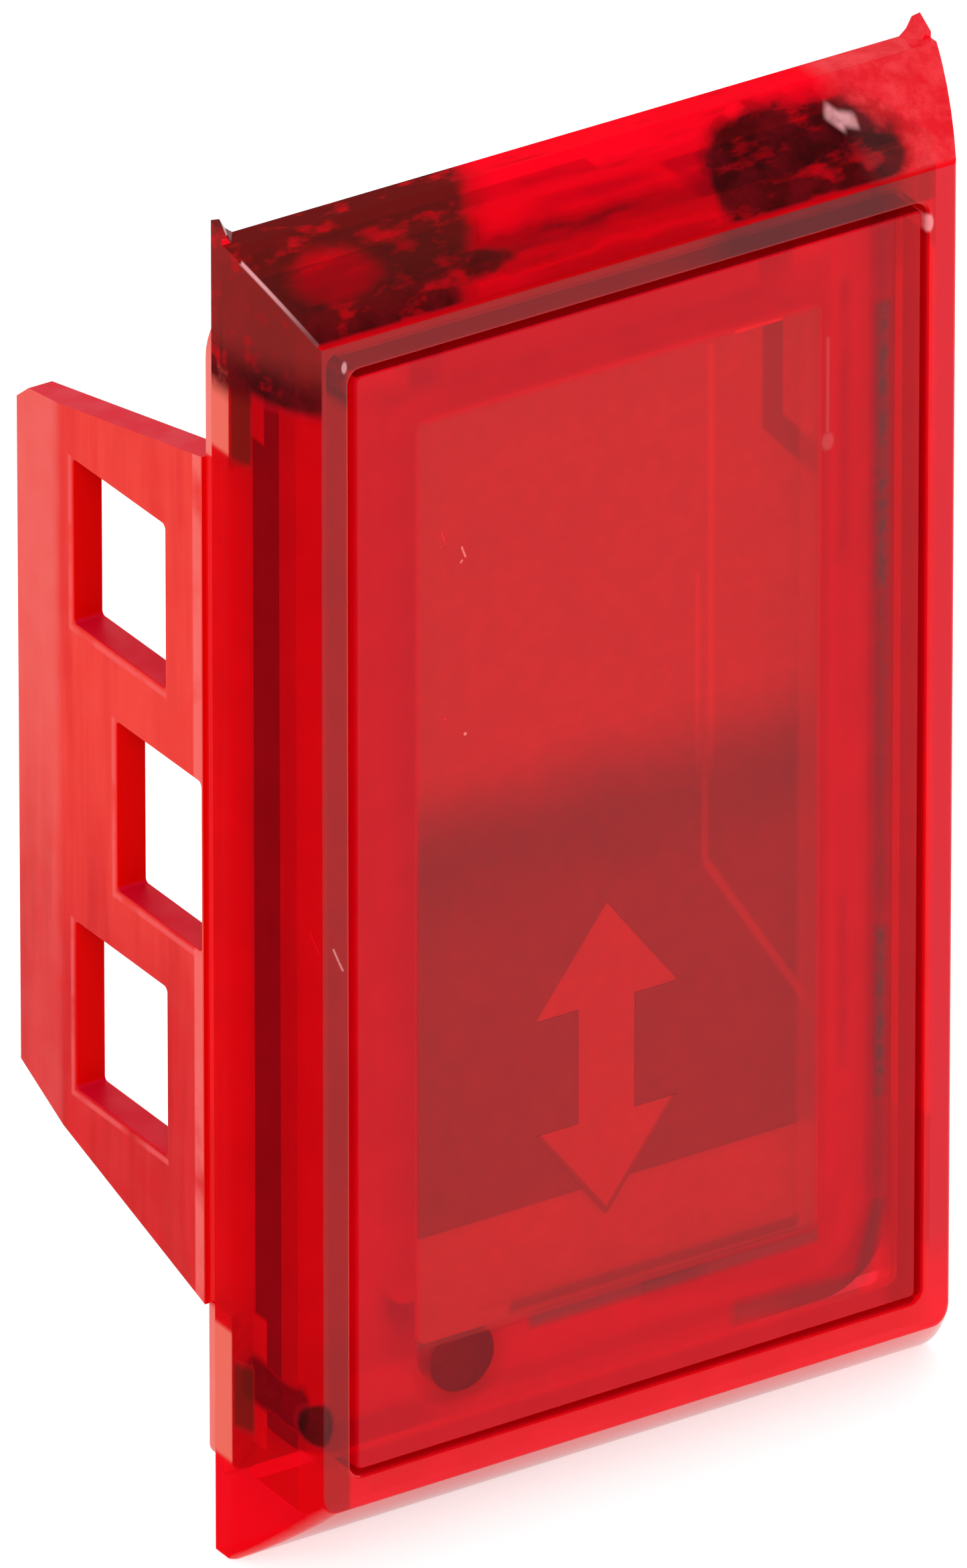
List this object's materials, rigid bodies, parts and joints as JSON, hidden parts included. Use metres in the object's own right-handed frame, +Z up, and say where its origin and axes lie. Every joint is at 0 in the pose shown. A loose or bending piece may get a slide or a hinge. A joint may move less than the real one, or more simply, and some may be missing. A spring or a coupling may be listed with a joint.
{
  "type": "manual call point",
  "caption": "Flush one-module manual call point: translucent red flared cover with a sprung press pane, side clip plates, and a snap switch with terminals behind.",
  "frame": {"origin": "centre of the cover's rear seating plane, where the rim rests on the support frame", "axes": "+X to the right and +Z up as seen by the user, +Y into the wall"},
  "size_m": [0.0252, 0.0158, 0.0448],
  "materials": {
    "cover_red": "clear red moulding, polished",
    "pane_red": "clear red moulding, polished face",
    "legend_film": "light diffusing film",
    "shade_film": "smoked film",
    "arrow_film": "light film inlay",
    "striker_plastic": "dark moulded post",
    "seal_rubber": "soft black",
    "skirt_red": "moulded red",
    "wing_red": "moulded red, satin sides",
    "chassis_plastic": "fine moulded texture",
    "screw_steel": "zinc plated",
    "pin_steel": "ground pin",
    "guide_acrylic": "frosted clear",
    "slide_plastic": "natural acetal",
    "spring_steel": "bright spring steel",
    "housing_plastic": "fine moulded texture",
    "switch_plastic": "black thermoset",
    "button_plastic": "moulded red",
    "contact_brass": "tinned and plain brass",
    "board_laminate": "solder resist over glass laminate",
    "led_lens": "moulded lens",
    "resistor_ceramic": "chip resistor",
    "block_plastic": "moulded, fine texture"
  },
  "bodies": {
    "base": {"bezel": "cover_red", "seal_ring": "seal_rubber", "skirt_frame": "skirt_red", "left_wing": "wing_red", "right_wing": "wing_red", "chassis_plate": "chassis_plastic", "chassis_screws": "screw_steel", "hinge_pin": "pin_steel", "light_guide": "guide_acrylic", "return_spring": "spring_steel", "rear_housing": "housing_plastic", "housing_screws": "screw_steel", "switch_case": "switch_plastic", "switch_cover": "switch_plastic", "lever_pin": "pin_steel", "snap_blade": "contact_brass", "contact_rivets": "contact_brass", "switch_terminals": "contact_brass", "circuit_board": "board_laminate", "board_pins": "contact_brass", "status_leds": "led_lens", "resistors": "resistor_ceramic", "terminal_block": "block_plastic", "block_screws": "screw_steel", "terminal_clamps": "contact_brass", "terminal_screws": "screw_steel", "bus_strips": "contact_brass"},
    "pane": {"press_pane": "pane_red", "legend_film": "legend_film", "shade_film": "shade_film", "arrow_inlay": "arrow_film", "striker_post": "striker_plastic"},
    "slide": {"ramp_slide": "slide_plastic"},
    "lever": {"switch_lever": "spring_steel"},
    "button": {"switch_button": "button_plastic"}
  },
  "joints": [
    {"name": "pane_press", "type": "hinge", "parent": "base", "child": "pane", "pos_m": [0, -0.0008, 0.0169], "axis": [1, 0, 0], "range_deg": [0, 1.5], "stiffness_Nm_per_rad": 2, "springref_deg": -1.15},
    {"name": "ramp_lift", "type": "slide", "parent": "base", "child": "slide", "axis": [0, 0, 1], "range_m": [0, 0.00095], "deforming": ["return_spring"]},
    {"name": "lever_turn", "type": "hinge", "parent": "base", "child": "lever", "pos_m": [-0.003, 0.0032, -0.007], "axis": [1, 0, 0], "range_deg": [0, 5.6]},
    {"name": "button_press", "type": "slide", "parent": "base", "child": "button", "axis": [0, 1, 0], "range_m": [0, 0.0004]}
  ],
  "couplings": [
    {"joint": "ramp_lift", "follows": "pane_press", "m_per_rad": 0.0335},
    {"joint": "lever_turn", "follows": "pane_press", "ratio": 3.4896},
    {"joint": "button_press", "follows": "pane_press", "m_per_rad": 0.013958}
  ]
}
